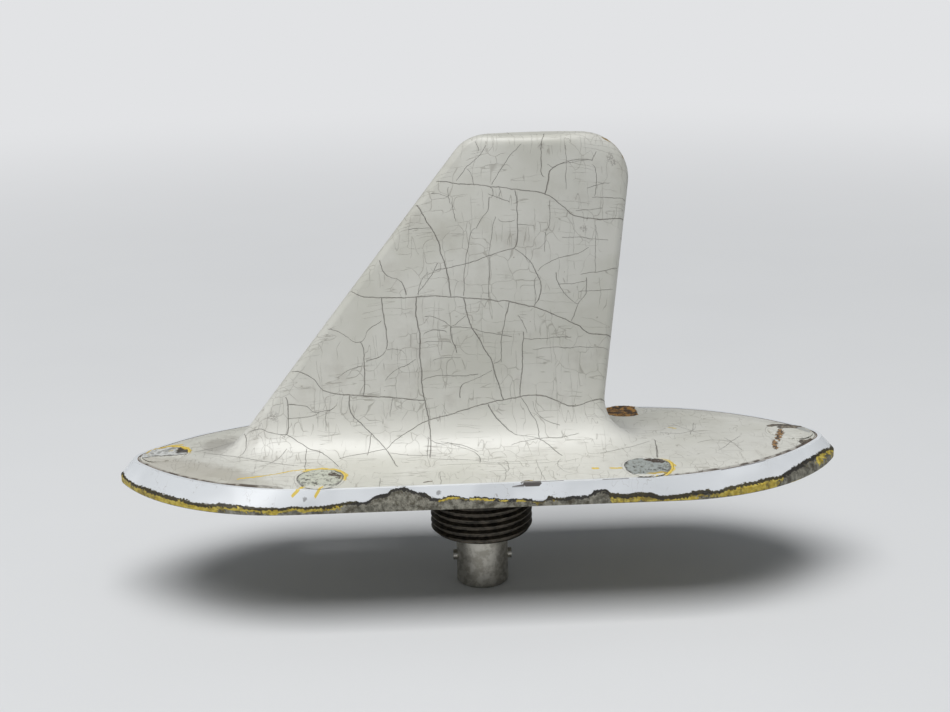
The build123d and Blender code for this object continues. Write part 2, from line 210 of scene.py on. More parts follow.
# Each long crack has its width and its points, in millimetres. A point of an upright
# crack is its height less its distance from the middle plane, then its place along.
upright_cracks = [
    (0.13, [(54.6, 20.1), (53.7, 16.2), (52.8, 13.7), (50.3, 12.8), (48.3, 12.3)]),
    (0.14, [(48.9, 7.1), (43.4, 7.4), (38.3, 6.9)]),
    (0.13, [(38.2, 6.7), (36.2, 9.2), (33.4, 10.9), (31.2, 11.5), (27.6, 10.2)]),
    (0.16, [(48.9, -10.5), (43.6, -8.1), (39.1, -6.4), (34.4, -5.4), (29.9, -4.6)]),
    (0.11, [(38.6, -17.4), (35.3, -16.1), (33.5, -13.5), (31.0, -12.8)]),
    (0.08, [(36.4, -7.0), (33.8, -8.4), (30.8, -10.9)]),
    (0.15, [(30.9, -17.1), (27.3, -17.0), (23.4, -16.5), (20.6, -16.7)]),
    (0.19, [(30.1, -11.1), (26.6, -11.0), (21.9, -10.6), (15.3, -10.5), (9.7, -9.9), (-0.2, -9.3),
            (-4.0, -9.4)]),
    (0.14, [(22.5, -21.4), (20.1, -20.7), (11.8, -21.2)]),
    (0.17, [(29.4, -2.3), (25.9, -1.9), (23.2, -0.9), (20.2, 0.7), (16.8, 2.4), (13.1, 3.4), (9.9, 4.3)]),
    (0.10, [(28.3, 5.6), (24.0, 4.7), (21.3, 4.2), (17.2, 4.0)]),
    (0.13, [(22.7, 8.1), (17.7, 7.9), (14.1, 7.6), (10.5, 7.4)]),
    (0.16, [(12.0, -23.8), (9.4, -23.7), (6.2, -21.8), (2.5, -19.3), (-1.3, -17.2), (-7.3, -15.3)]),
    (0.16, [(9.0, 1.5), (5.6, 3.5), (2.2, 6.4), (1.0, 10.3), (-4.8, 14.3)]),
    (0.15, [(13.3, -35.4), (8.3, -35.0), (5.2, -35.4)]),
    (0.12, [(1.7, 32.3), (-0.6, 32.1), (-7.8, 31.1)]),
    (0.10, [(10.5, 7.5), (6.7, 9.7), (4.5, 10.5), (1.0, 10.6)]),
    (0.09, [(15.4, 2.4), (14.1, -0.3), (12.7, -3.2), (10.4, -3.7)]),
    (0.09, [(0.6, -31.8), (-3.0, -31.9), (-7.5, -31.6)]),
    (0.08, [(-6.0, 3.6), (-9.0, 4.4), (-12.5, 3.2)]),
    (0.08, [(-6.5, 14.0), (-9.5, 13.2), (-13.5, 15.4)]),
    (0.12, [(2.4, 32.3), (-4.0, 31.9), (-8.0, 31.0)]),
    (0.07, [(-5.0, 47.2), (-1.0, 46.4), (2.2, 45.2)]),
    (0.10, [(0.6, -7.3), (-1.3, -3.7), (-3.6, -0.9), (-6.8, -0.6)]),
    (0.07, [(-7.5, 2.7), (-13.2, 3.7), (-15.8, 3.0)]),
    (0.07, [(-6.4, 9.5), (-12.0, 9.9), (-16.1, 10.5)]),
    (0.13, [(7.3, -43.5), (4.4, -42.9), (0.7, -44.4)]),
    (0.08, [(1.1, -35.4), (-2.7, -37.6), (-5.6, -40.9)]),
    (0.09, [(3.4, -20.0), (-2.4, -20.8)]),
    (0.09, [(1.7, -9.8), (-3.3, -9.9)]),
    (0.07, [(-12.8, -18.5), (-16.8, -18.4)]),
    (0.07, [(-11.1, -7.8), (-16.1, -7.7)]),
    (0.07, [(59.4, 0.2), (57.3, 0.9)]),
    (0.08, [(58.0, 2.3), (56.5, 1.1), (54.3, -1.3), (52.2, -3.1)]),
    (0.07, [(54.1, -1.1), (52.5, -0.4), (50.8, -0.2)]),
    (0.07, [(57.4, 8.1), (54.5, 5.6), (50.5, 3.1)]),
    (0.10, [(61.2, 12.6), (59.9, 12.4), (56.0, 11.8), (53.3, 11.7), (51.1, 12.3)]),
    (0.07, [(54.6, 20.8), (56.4, 21.6)]),
    (0.07, [(53.9, 20.8), (52.4, 21.4), (50.0, 21.5), (48.3, 21.3)]),
    (0.07, [(48.0, -4.2), (46.1, -3.9), (44.1, -3.4)]),
    (0.06, [(49.9, 4.1), (48.8, 4.3), (47.9, 3.6)]),
    (0.09, [(47.9, 2.5), (45.7, 2.3), (44.0, 0.8), (42.3, 0.1)]),
    (0.08, [(42.3, 0.1), (41.6, -0.8), (39.5, -1.5), (35.9, -2.1), (29.8, -2.3)]),
    (0.06, [(44.2, 3.4), (41.4, 2.8), (37.1, 2.3), (29.2, 1.9)]),
    (0.07, [(47.1, 13.2), (42.9, 13.2), (41.2, 12.5), (37.7, 12.2)]),
    (0.09, [(34.0, 14.3), (32.1, 14.6), (30.2, 15.7), (28.5, 18.2)]),
    (0.09, [(33.3, 19.9), (30.9, 19.8), (28.4, 18.2), (25.3, 16.9)]),
    (0.06, [(43.2, 21.5), (39.7, 21.4), (34.5, 21.3)]),
    (0.07, [(50.0, 2.6), (48.9, 3.1), (47.8, 2.6)]),
    (0.06, [(51.1, -4.6), (49.6, -4.8), (47.7, -4.5)]),
    (0.07, [(30.5, -10.8), (33.0, -10.0), (34.7, -8.8)]),
    (0.07, [(27.5, 10.3), (29.9, 10.4), (31.9, 10.2), (33.1, 10.9)]),
    (0.05, [(57.2, 16.1), (53.3, 16.2), (49.0, 16.2)]),
    (0.10, [(23.7, -5.0), (21.8, -4.8), (20.3, -4.3), (19.1, -3.9)]),
    (0.06, [(25.7, 7.4), (24.1, 8.3), (22.6, 8.8)]),
    (0.06, [(11.0, -15.8), (7.1, -16.3)]),
    (0.06, [(9.2, -28.1), (5.1, -28.2)]),
]
# The level cracks have the same two numbers in the other order.
level_cracks = [
    (0.16, [(-6.6, 52.6), (-0.3, 50.8), (7.1, 49.1), (12.3, 48.2), (13.6, 47.4), (15.5, 45.9), (17.8, 44.5),
            (20.0, 44.2), (23.2, 44.4), (26.6, 45.1)]),
    (0.12, [(-7.5, 35.0), (-1.5, 35.9), (2.8, 37.2), (6.7, 38.2)]),
    (0.18, [(-22.5, 33.4), (-19.6, 31.5), (-11.1, 30.2), (-4.6, 29.7), (0.9, 28.9), (6.1, 28.3),
            (9.9, 27.4), (14.7, 25.9), (18.2, 24.4), (21.4, 23.2), (25.0, 23.8)]),
    (0.10, [(-27.2, 26.2), (-23.8, 24.0), (-21.4, 22.5), (-19.9, 24.6), (-17.4, 26.3)]),
    (0.09, [(-10.0, 22.7), (-8.5, 23.4), (-6.7, 23.4), (-5.7, 23.0)]),
    (0.09, [(-5.0, 23.8), (-3.3, 23.8), (-1.2, 23.5), (0.6, 22.8), (3.2, 22.4), (6.0, 21.8)]),
    (0.07, [(8.1, 21.5), (12.1, 21.8), (16.9, 22.3)]),
    (0.18, [(-34.0, 19.0), (-30.6, 16.6), (-27.4, 13.2), (-22.1, 11.9), (-16.0, 11.0), (-10.1, 10.1)]),
    (0.19, [(-17.2, -0.8), (-13.6, 3.3), (-9.6, 5.9), (-4.8, 7.4), (0.5, 9.0), (4.3, 9.9), (9.7, 10.8),
            (13.7, 10.4), (16.8, 9.3), (20.0, 10.3), (24.5, 12.0)]),
    (0.15, [(-35.4, 5.2), (-31.9, 1.2), (-28.4, -1.7), (-25.8, -6.2)]),
    (0.12, [(-25.8, -3.0), (-20.6, -1.6), (-17.2, -0.8)]),
    (0.09, [(40.0, -0.1), (44.6, 0.8), (47.5, -5.5)]),
    (0.08, [(-9.5, -4.5), (-1.7, -5.8), (8.5, -8.1), (17.2, -6.5)]),
    (0.06, [(9.8, 19.6), (18.2, 20.5), (23.6, 20.8)]),
    (0.08, [(9.7, 9.7), (11.0, 6.8), (14.5, 4.6)]),
    (0.11, [(-51.0, 4.2), (-44.4, 0.4), (-38.4, -3.0), (-33.1, -5.2)]),
    (0.10, [(-34.9, 11.7), (-31.7, 11.0), (-29.3, 9.4), (-25.9, 11.5)]),
    (0.08, [(-34.9, 8.8), (-31.8, 8.7), (-29.3, 9.4)]),
    (0.12, [(-43.0, 6.4), (-41.2, 7.3), (-38.6, 6.2), (-35.3, 5.1)]),
    (0.12, [(-9.8, 2.0), (-7.7, 0.1), (-5.0, -0.2), (-0.7, -2.7)]),
    (0.07, [(-16.7, -2.0), (-12.1, -3.3), (-8.4, -3.4)]),
    (0.10, [(21.5, -4.1), (26.7, -1.7), (31.2, 1.8)]),
    (0.07, [(42.9, -4.9), (48.4, 3.0)]),
    (0.08, [(5.5, -0.8), (9.1, 0.6), (14.0, 1.4), (18.0, 2.6)]),
    (0.07, [(-7.8, -7.4), (-1.5, -7.4), (6.7, -6.8), (11.6, -6.6)]),
    (0.07, [(12.8, 53.5), (13.8, 52.8)]),
    (0.11, [(13.8, 52.8), (15.9, 53.8), (17.9, 54.5), (20.8, 54.7)]),
    (0.05, [(20.0, 49.7), (22.0, 50.4), (24.0, 50.9)]),
    (0.07, [(20.8, 48.0), (23.8, 48.2), (26.9, 48.6)]),
    (0.06, [(17.9, 45.4), (20.3, 45.8), (22.8, 46.3)]),
    (0.08, [(2.3, 48.6), (3.3, 48.0), (4.6, 47.5), (6.1, 46.9)]),
    (0.07, [(14.5, 31.9), (17.1, 32.2), (19.8, 32.8)]),
    (0.07, [(18.7, 33.9), (22.1, 34.7), (25.5, 36.1)]),
    (0.08, [(10.9, 34.2), (12.6, 35.6), (15.4, 36.8), (18.2, 37.7), (20.1, 38.9)]),
    (0.06, [(15.4, 40.4), (18.2, 40.5), (23.8, 40.7)]),
    (0.06, [(4.0, 43.8), (5.5, 43.1), (6.9, 43.5)]),
    (0.06, [(-7.5, 50.4), (-6.0, 49.9), (-4.7, 48.8)]),
    (0.06, [(-12.0, 43.8), (-9.7, 43.6), (-8.0, 43.4)]),
    (0.07, [(18.6, 31.0), (21.5, 31.3), (24.6, 32.0)]),
    (0.08, [(-9.5, 26.4), (-7.5, 25.9), (-5.0, 23.9)]),
    (0.07, [(-5.0, 23.9), (-3.7, 24.7), (-2.3, 25.9)]),
    (0.05, [(7.4, 42.6), (10.3, 42.5)]),
    (0.11, [(-20.3, 18.5), (-18.4, 18.9), (-17.2, 19.7), (-16.6, 20.8)]),
    (0.09, [(-10.3, 13.8), (-8.6, 14.5), (-6.8, 14.8), (-4.3, 14.5), (-2.1, 14.5), (-0.3, 14.8)]),
    (0.06, [(-8.3, 17.6), (-6.9, 18.1), (-4.9, 18.1), (-3.3, 18.1)]),
    (0.07, [(-17.1, 14.5), (-15.3, 16.1), (-13.4, 16.9), (-11.4, 18.0)]),
    (0.06, [(-25.8, 15.9), (-24.1, 16.9), (-22.7, 17.5), (-21.2, 17.7)]),
    (0.06, [(-16.6, 20.4), (-15.5, 20.5), (-14.4, 20.2), (-13.3, 19.3)]),
    (0.05, [(-9.9, 21.4), (-7.9, 21.3), (-5.0, 21.1)]),
    (0.07, [(2.7, 16.7), (3.6, 17.2), (4.0, 17.8)]),
]
# The six screw holes, along and across.
hole_places = [(-29.0, -16.3), (29.0, -16.3), (-29.0, 16.3), (29.0, 16.3), (-58.2, 0.0), (58.2, 0.0)]

# Strokes of other tones on the flange: width, then points as distance along and across.
yellow_strokes = [
    (0.20, [(-43.7, -14.8), (-39.7, -14.5), (-36.3, -13.4), (-33.0, -12.1), (-29.5, -11.9), (-26.9, -12.4),
            (-25.2, -13.7)]),
    (0.26, [(-33.3, -20.9), (-32.4, -19.6), (-31.6, -19.0)]),
    (0.26, [(-29.3, -21.2), (-28.9, -20.4), (-28.4, -19.9)]),
    (0.34, [(19.2, -16.5), (20.1, -16.6)]),
    (0.22, [(22.3, -16.7), (24.4, -16.9)]),
    (0.34, [(32.6, -14.6), (33.4, -15.3), (33.9, -16.4)]),
    (0.22, [(30.0, -20.5), (32.2, -20.3)]),
    (0.20, [(36.0, 4.4), (37.2, 3.9)]),
    (0.16, [(7.0, -20.1), (8.3, -20.0)]),
    (0.42, [(-62.7, 2.0), (-61.4, 4.3), (-58.5, 5.0), (-55.6, 4.6)]),
]
dark_strokes = [
    (0.80, [(55.2, 3.3), (56.6, 4.0), (58.5, 4.3), (60.3, 3.6), (62.0, 2.0)]),
    (1.00, [(57.0, 2.4), (58.4, 3.0), (60.0, 2.9)]),
    (0.75, [(59.3, -5.0), (60.3, -4.6), (61.4, -3.6)]),
    (0.15, [(-10.8, -19.3), (-9.4, -19.2)]),
]
rust_strokes = [
    (0.60, [(55.0, -4.0), (55.8, -1.8), (56.6, 0.1)]),
    (0.50, [(53.6, -8.0), (54.1, -6.3)]),
]
seam_chips = [
    (0.36, [(6.3, -20.7), (7.6, -20.3), (9.3, -20.7)]),
    (0.12, [(4.6, -21.2), (6.6, -21.1)]),
    (0.14, [(9.6, -20.6), (13.6, -20.5)]),
    (0.14, [(20.5, -20.7), (25.0, -20.6)]),
    (0.14, [(26.8, -20.4), (29.5, -20.4)]),
    (0.13, [(41.9, -18.0), (44.6, -16.9), (47.5, -15.6), (50.6, -13.9)]),
]


def nearest_stroke(first, second, strokes):
    """Distance from the nearest stroke of a list, in line widths."""
    return functools.reduce(Wire.least, [crack(first, second, points, width) for width, points in strokes])


def drawn(first, second, strokes):
    """1 on the strokes of a list, 0 elsewhere."""
    return nearest_stroke(first, second, strokes).step(1.1, 0.8)


def roughen(place, x, y, scale, reach):
    """Two coordinates shifted a little by noise, so that strokes get ragged edges."""
    shift = place.noise(scale, 3.0, 0.7, output=1).axes()
    return x + (shift[0] - 0.5) * reach, y + (shift[1] - 0.5) * reach


def nearest_hole(x, y):
    """Distance from the axis of the nearest screw hole."""
    return functools.reduce(Wire.least, [x.at(x - a, y - b, 0.0).length() for a, b in hole_places])


def spot_reach(x, z, spot_x, spot_z, size):
    """Distance from the middle of a spot on the side of the object, in sizes of the spot."""
    return x.at(x - spot_x, z - spot_z, 0.0).length() * (1 / size)


def seam_opens(place, x):
    """1 along the stretches where no white paint covers the dark seam round the flange."""
    ends = x.step(-33.0, -37.0) + x.step(24.0, 36.0)
    return (ends + (place.noise(0.22, 3.0) - 0.5) * 1.2).step(0.45, 0.6)


def worn_cream_and_painted_light(place):
    """The cream paint as it has aged, with its scratches and chips, but no cracks, and with painted light
    round the foot of the fin.
    """
    x, y, z = place.axes()
    mottle = place.noise(0.06, 3.0, 0.6)
    cream = mottle.step(0.62, 0.38).between((214, 213, 205), (203, 202, 192))
    # Painted light makes it paler round the foot of the fin, and dirt has settled on it unevenly.
    painted_foot_light = z.step(22.0, 9.0) * z.step(4.4, 6.5)
    grime = place.noise(0.13, 4.0, 0.65).step(0.50, 0.78)
    cream = cream.under((240, 239, 232), painted_foot_light * 0.6).under((160, 154, 142), grime * 0.30)
    # A darker patch lies before the fin and a brown streak between the nose and the first hole.
    dark_patch = place.at(x + 48.0, (y - 3.0) * 0.8, (z - 4.5) * 0.5).length()
    dark_patch = (dark_patch + (place.noise(0.35, 4.0, 0.7) - 0.5) * 7.0).step(6.0, 2.0)
    cream = cream.under((132, 126, 116), dark_patch * 0.5)
    aft, across = x + 52.0, y + 9.0
    streak = place.at(aft * 0.45 + across * 0.30, across * 0.7 + aft * 0.35, 0.0).length()
    streak = (streak + (place.noise(0.3, 4.0, 0.7) - 0.5) * 6.0).step(4.6, 1.6)
    cream = cream.under((150, 141, 124), streak * 0.4)
    cream = cream.under((140, 132, 116), place.noise(1.1, 2.0).step(0.74, 0.80) * 0.6)
    # Primer shows as strokes, and as a part of a ring at the near holes.
    first, second = roughen(place, x, y, 0.9, 0.9)
    rim = nearest_hole(x, y) + (place.noise(0.6, 3.0) - 0.5) * 1.7
    fore_hole = (x * 0.6 + y).step(-33.0, -31.8) * x.step(1.0, -1.0)
    aft_hole = x.step(31.0, 32.2) * y.step(-12.0, -15.0) * x.step(40.0, 36.0)
    ring = rim.step(4.9, 4.65) * fore_hole.most(aft_hole)
    yellow = drawn(first, second, yellow_strokes).most(ring) * x.step(50.0, 44.0)
    cream = cream.under((226, 196, 72), yellow * 0.92)
    # Old dark paint, rust and a rubbed patch show in the chips at the tail and along the seam.
    dark = drawn(first, second, dark_strokes).most(drawn(first, second, seam_chips))
    patchy = place.noise(1.3, 3.0, 0.7)
    old_paint = patchy.step(0.40, 0.52).between((136, 126, 110), (66, 56, 46))
    cream = old_paint.over(cream, dark * 0.92)
    rust = drawn(*roughen(place, x, y, 1.5, 2.0), rust_strokes)
    old_rust = patchy.step(0.54, 0.47).between((62, 46, 32), (152, 108, 46))
    cream = old_rust.over(cream, rust * 0.92)
    rubbed = drawn(first, second, [(0.60, [(60.4, 1.9), (61.0, 1.2), (61.6, 0.2)])])
    cream = cream.under((158, 160, 158), rubbed * 0.75)
    chipped = yellow.most(dark).most(rust)
    return cream, 0.42 + grime * 0.12 + chipped * 0.2, mottle * 0.1 - chipped * 0.8


# The far side has the same long cracks, 6 mm further forward and 3 mm higher, so that
# the two sides don't mirror each other. Two noises make each line sway and tremble.
skin_paint, place = start_finish("cream_paint")
x, y, z = place.axes()
far = y.step(-0.01, 0.01)
sway_x, _, sway_z = place.noise(0.28, 2.0, output=1).axes()
tremble_x, _, tremble_z = place.noise(1.6, 2.0, output=1).axes()
along = x + far * 6.0 + (sway_x - 0.5) * 0.9 + (tremble_x - 0.5) * 0.22
up = z - abs(y) - far * 3.0 + (sway_z - 0.5) * 0.9 + (tremble_z - 0.5) * 0.22
split = nearest_stroke(up, along, upright_cracks).least(nearest_stroke(along, up, level_cracks))
split = split.step(0.70, 0.22)

# The fine cracks are a net of cells with level and upright sides, and two sets of
# hairs along the weave. Each is there only in patches.
squares = place.at(along, up * 0.8, y * 0.2)
cell = {"Vector": squares, "Scale": 0.27, "Exponent": 6.0}
second, nearest = [squares.add("ShaderNodeTexVoronoi", cell, feature=feature, distance="MINKOWSKI")
                   for feature in ("F2", "F1")]
net = (second - nearest).step(0.020, 0.004) * place.noise(0.15, 2.0).step(0.44, 0.54)
cross_hair = abs(place.at(along * 0.10, up * 1.15, y * 0.3).noise(0.55, 1.0) - 0.5).step(0.010, 0.002)
cross_hair = cross_hair * place.noise(0.21, 2.0).step(0.48, 0.56)
up_hair = abs(place.at(along * 1.15, up * 0.12, y * 0.3 + 40.0).noise(0.55, 1.0) - 0.5).step(0.010, 0.002)
up_hair = up_hair * place.at(x, y, z + 90.0).noise(0.21, 2.0).step(0.48, 0.56)
fine = net.most(cross_hair).most(up_hair)

cream, rough, height = worn_cream_and_painted_light(place)
cream = cream.under((132, 126, 114), fine * 0.42)

# Small scuffed spots, and a chip along the fin's aft top corner.
spots = functools.reduce(Wire.least, [spot_reach(x, z, *spot) for spot in (
    (11.7, 60.2, 0.9), (24.1, 57.6, 1.1), (19.2, 45.2, 0.9), (24.8, 56.6, 0.7), (-37.8, 11.6, 1.3))])
spots = (spots + (place.noise(1.4, 3.0, 0.7) - 0.5) * 1.8).step(1.0, 0.4)
spots = spots * place.noise(3.2, 3.0, 0.7).step(0.42, 0.56)
cream = cream.under((112, 104, 98), spots * 0.5)
corner = drawn(x, z, [(0.24, [(22.8, 61.2), (24.6, 60.2), (25.9, 58.9), (26.6, 57.4)])])
corner = corner * place.noise(0.9, 2.0).step(0.46, 0.52) * y.step(-3.0, -2.4)
cream = cream.under((150, 118, 52), corner * 0.9).under((78, 67, 55), split * 0.62)

# The foot of the flange is dark where it meets the seam.
thick = x.step(-45.0, -43.0) * x.step(-35.0, -37.5)
seam_line = (z - thick * 0.10 - x.step(36.0, 40.0) * 0.05).step(4.14, 4.03) * seam_opens(place, x)
cream = cream.under((70, 55, 44), seam_line * (0.35 + place.noise(0.5, 3.0).step(0.42, 0.56) * 0.55))
end_finish(skin_paint, cream, rough + fine * 0.15, height - split * 0.8 - fine * 0.2 - seam_line * 0.5,
           depth=0.14, coat=0.12)
dress(nodes["blade_skin"], skin_paint)

# The base plate is machined from aluminium and painted gloss white over yellow
# primer. Round its lower edge the paint has broken off down to the metal. The
# first list is the height of the broken edge along the near side of the plate.
edge_bends = [(-66.5, 1.7), (-65.6, 1.61), (-63.8, 1.38), (-60.1, 1.55), (-55.3, 1.53), (-50.7, 1.39),
              (-48.4, 1.39), (-46.3, 1.7), (-41.9, 1.49), (-35.6, 1.37), (-33.5, 1.63), (-31.4, 1.36),
              (-27.2, 1.61), (-25.1, 1.81), (-23.4, 2.06), (-21.7, 1.81), (-20, 2.53), (-18.3, 2.87),
              (-17, 3.21), (-16.3, 3.79), (-14.9, 4), (-13.6, 3.69), (-12.4, 3.25), (-10.3, 2.79),
              (-8.2, 2.01), (-6.1, 2.33), (-3.7, 1.95), (-1.3, 1.95), (1.2, 1.72), (4, 1.41), (7.3, 1.43),
              (9.6, 0.87), (11.1, 1.73), (12.5, 1.34), (15.3, 1.59), (17.6, 1.59), (19.8, 2.43),
              (21.9, 1.8), (23.7, 1.64), (27, 1.71), (29.4, 1.54), (31.7, 1.1), (34.1, 1.29), (36.5, 1.58),
              (38.9, 1.7), (39.9, 1.34), (43.9, 1.78), (49.1, 1.87), (52.4, 1.8), (56, 2.2), (61.3, 2.47),
              (64.1, 2.21), (66.5, 1.5)]
# The second is how much of the yellow primer is left there, from none to all.
primer_left = [(-66.5, 0.9), (-60, 1.0), (-50, 1.0), (-46, 0.9), (-40, 0.62), (-31, 0.56), (-26, 0.5),
               (-23, 0.1), (0, 0.12), (18, 0.1), (22, 0.6), (26, 1.0), (35, 0.9), (38, 0.5), (41, 0.6),
               (43, 0.95), (50, 0.9), (53, 0.4), (57, 0.15), (60, 0.5), (66.5, 0.6)]
plate_half, ridge_height = 66.5, 4.0
plate_paint, place = start_finish("white_paint_chipped")
x, y, z = place.axes()
near = y.step(0.5, -0.5)
share = (x + plate_half) / (2 * plate_half)
broken = share.curve([((a + plate_half) / (2 * plate_half), b / ridge_height) for a, b in edge_bends])
broken = broken * ridge_height * near + (1 - near) * (place.noise(0.06, 2.0) * 3.4 - 0.4)
ragged = (place.noise(0.45, 3.0, 0.6) - 0.5) * 0.5 + (place.noise(2.0, 3.0, 0.7) - 0.5) * 0.8
over_break = z - broken - ragged
painted = over_break.step(-0.04, 0.04)

# Under the broken edge runs a dark line of painted shadow, widest aft of the middle.
shade_width = place.noise(0.4, 3.0, 0.7) * 1.3 + (place.noise(2.4, 2.0) - 0.5) * 0.6 - 0.12
shade_width = shade_width + x.step(20.0, 24.0) * x.step(42.0, 36.0) * 0.3
lip_shadow = (over_break + shade_width).step(-0.05, 0.08) * (1 - painted) * z.step(0.04, 0.10)

# Below it is primer or stained metal. The mounting face has only traces of primer.
primer = share.curve([((a + plate_half) / (2 * plate_half), b) for a, b in primer_left])
flecks = place.noise(0.28, 5.0, 0.75) * 2.6 - 0.8
thin_part = x.step(-49.0, -45.0) * x.step(-20.0, -24.0)
primer = (flecks + primer - 1.0 + (over_break + 0.9) * (0.25 + thin_part * 0.6)).step(0.0, 0.10)
face = z.step(0.10, 0.04)
primer = primer * (1 - face) + face * place.noise(0.05, 5.0, 0.7).step(0.60, 0.62)
fringe = (abs(over_break + 0.34) - 0.12).step(0.08, 0.0) * x.step(-14.5, -13.0) * x.step(12.0, 6.0)
fringe = fringe * place.noise(0.3, 2.0).step(0.47, 0.53)
metal_grey = place.noise(0.9, 4.0, 0.7).step(0.35, 0.65).between((164, 161, 148), (100, 98, 88))
primer_tone = place.noise(1.3, 3.0).step(0.35, 0.7).between((212, 192, 88), (178, 152, 42))
stain = place.at(x, y, z + 30.0).noise(0.6, 4.0, 0.75).step(0.48, 0.62)
bare = primer_tone.over(metal_grey, primer.most(fringe)).under((70, 62, 46), stain * 0.62)
bare = bare.under((34, 31, 28), lip_shadow * (1 - fringe) * 0.94)

# The white paint has two runs of primer, small chips and hair cracks.
white = place.noise(0.08, 2.0).step(0.4, 0.6).between((228, 231, 234), (216, 219, 222))
white = white.under((150, 140, 126), place.noise(0.8, 3.0).step(0.74, 0.8) * 0.6)
runs = drawn(x, z, [(0.26, [(-33.7, 3.2), (-32.6, 4.1)]), (0.26, [(-29.7, 3.1), (-29.0, 4.1)])]) * near
white = white.under((226, 196, 72), runs * 0.92)
chips = drawn(x, y, seam_chips) * z.step(3.2, 3.6)
chips = chips.most(drawn(x, z, [(0.50, [(6.9, 3.85), (9.3, 3.85)])]) * near)
for spot in ((-8.3, 2.9, 0.6), (-31.6, 2.6, 0.5)):
    reach = spot_reach(x, z, *spot) + (place.noise(1.8, 3.0, 0.7) - 0.5) * 1.6
    chips = chips.most(reach.step(0.9, 0.4) * near * 0.6)
white = white.under((58, 48, 40), chips * 0.9)
hairs = abs(place.at(x * 2.0, y * 2.0, z * 0.5).noise(0.35, 2.0) - 0.5).step(0.008, 0.002)
white = white.under((140, 132, 122), hairs * place.noise(0.1).step(0.52, 0.6) * 0.5)
end_finish(plate_paint, white.over(bare, painted), 0.55 - painted * 0.30,
           painted + primer * (1 - painted) * 0.35 + place.noise(2.2, 4.0, 0.7) * 0.25 * (1 - painted),
           depth=0.22, metal=(1 - painted) * (1 - primer) * (1 - lip_shadow) * 0.6)
dress(nodes["base_plate"], plate_paint)

# The adhesive that beds the moulding has squeezed up as a dark seam round it.
# White paint has flowed over it in places.
seam, place = start_finish("brown_adhesive")
x, y, z = place.axes()
brown = place.noise(0.5, 3.0).step(0.4, 0.6).between((104, 76, 56), (52, 43, 36))
brown = brown.over(colour(204, 204, 200), seam_opens(place, x))
end_finish(seam, brown, 0.6, place.noise(1.5, 3.0), depth=0.1)
dress(nodes["bond_film"], seam)

# Turned ferrules of bare aluminium line the six countersunk holes, so that the
# screws don't crush the moulding. Cream paint has run a little over their rims.
ferrule_metal, place = start_finish("dull_aluminium")
x, y, z = place.axes()
tarnish = place.noise(0.9, 4.0, 0.7)
tone = tarnish.step(0.35, 0.62).between((132, 130, 122), (186, 186, 182))
cream, rough, _ = worn_cream_and_painted_light(place)
top = z.step(3.9, 4.0)
edge = (nearest_hole(x, y) + (place.noise(0.8, 3.0) - 0.5) * 0.5).step(4.10, 4.24) * top
# It covers both end ones whole, and a part of three of the others.
far_aft = x.step(31.0, 31.4) * y.step(0.0, 4.0)
covered = abs(x).step(48.0, 50.0).most(far_aft).most(y.step(-19.2, -19.4)) * top
overpaint = edge.most(covered)
metal_rough = 0.34 + tarnish * 0.3
end_finish(ferrule_metal, cream.over(tone, overpaint), rough * overpaint + (1 - overpaint) * metal_rough,
           overpaint * 0.8 + tarnish * 0.3, depth=0.1, metal=(1 - overpaint) * 0.85)
dress(nodes["hole_ferrules"], ferrule_metal)


# Old grey sealant, pressed in over the screw seats, fills the two near side holes.
# It is lumpy, runs a little over the rim, and follows the slope of the flange.
def press_filler(name, hole_x, hole_y, face, lean, lump, dip=0.0):
    """A cone of filler in a countersink. Its lumpy top leans and dips as the flange does there."""
    foot_radius, rim_radius, deep = 0.0024, 0.00426, 0.0019
    bpy.ops.object.select_all(action="DESELECT")
    bpy.ops.mesh.primitive_cone_add(vertices=64, radius1=foot_radius, radius2=rim_radius, depth=deep,
                                    location=(hole_x, hole_y, face - deep / 2), rotation=(lean, dip, 0))
    filler = bpy.context.object
    filler.name = name
    bpy.ops.object.transform_apply(location=True, rotation=True, scale=True)
    remesh = filler.modifiers.new("even", "REMESH")
    remesh.mode = "VOXEL"
    remesh.voxel_size = 0.00013
    bpy.ops.object.modifier_apply(modifier="even")
    top = filler.vertex_groups.new(name="top")
    top.add([v.index for v in filler.data.vertices if v.co.z > face - 0.0007], 1.0, "REPLACE")
    for way, scale, amount in (("NORMAL", 0.0016, 0.0003), ("Z", 0.0022, lump), ("Z", 0.0006, lump * 0.6)):
        grain = bpy.data.textures.new(name + "_grain", "CLOUDS")
        grain.noise_scale = scale
        bumps = filler.modifiers.new("lumps", "DISPLACE")
        bumps.texture = grain
        bumps.texture_coords = "LOCAL"
        bumps.direction = way
        bumps.mid_level = 0.5
        bumps.strength = amount
        bumps.vertex_group = "top"
        bpy.ops.object.modifier_apply(modifier="lumps")
    bpy.ops.object.shade_smooth()
    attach(filler, "root")
    return filler


sealant, place = start_finish("grey_sealant")
x, y, z = place.axes()
crumb = place.noise(1.1, 4.0, 0.7)
rim = nearest_hole(x, y) + (crumb - 0.5) * 1.8
tone = x.step(4.0, -4.0).between((158, 163, 160), (196, 198, 184))
tone = tone.under((112, 112, 102), crumb.step(0.50, 0.62) * 0.8)
tone = tone.under((52, 48, 42), place.noise(0.8, 3.0).step(0.62, 0.66) * 0.8)
tone = tone.under((78, 76, 66), rim.step(3.5, 4.3) * place.noise(0.5, 3.0).step(0.42, 0.56) * 0.8)
dark_end = drawn(x, y, [(0.9, [(29.4, -12.9), (32.0, -14.0)]), (0.8, [(-27.0, -14.4), (-25.6, -15.8)])])
tone = tone.under((60, 44, 32), dark_end * crumb.step(0.34, 0.46) * 0.9)
gold_rim = x.step(-25.6, -24.9) * x.step(0.0, -2.0) + y.step(-18.6, -19.1) * x.step(28.0, 29.5)
tone = tone.under((196, 164, 52), gold_rim * 0.85)
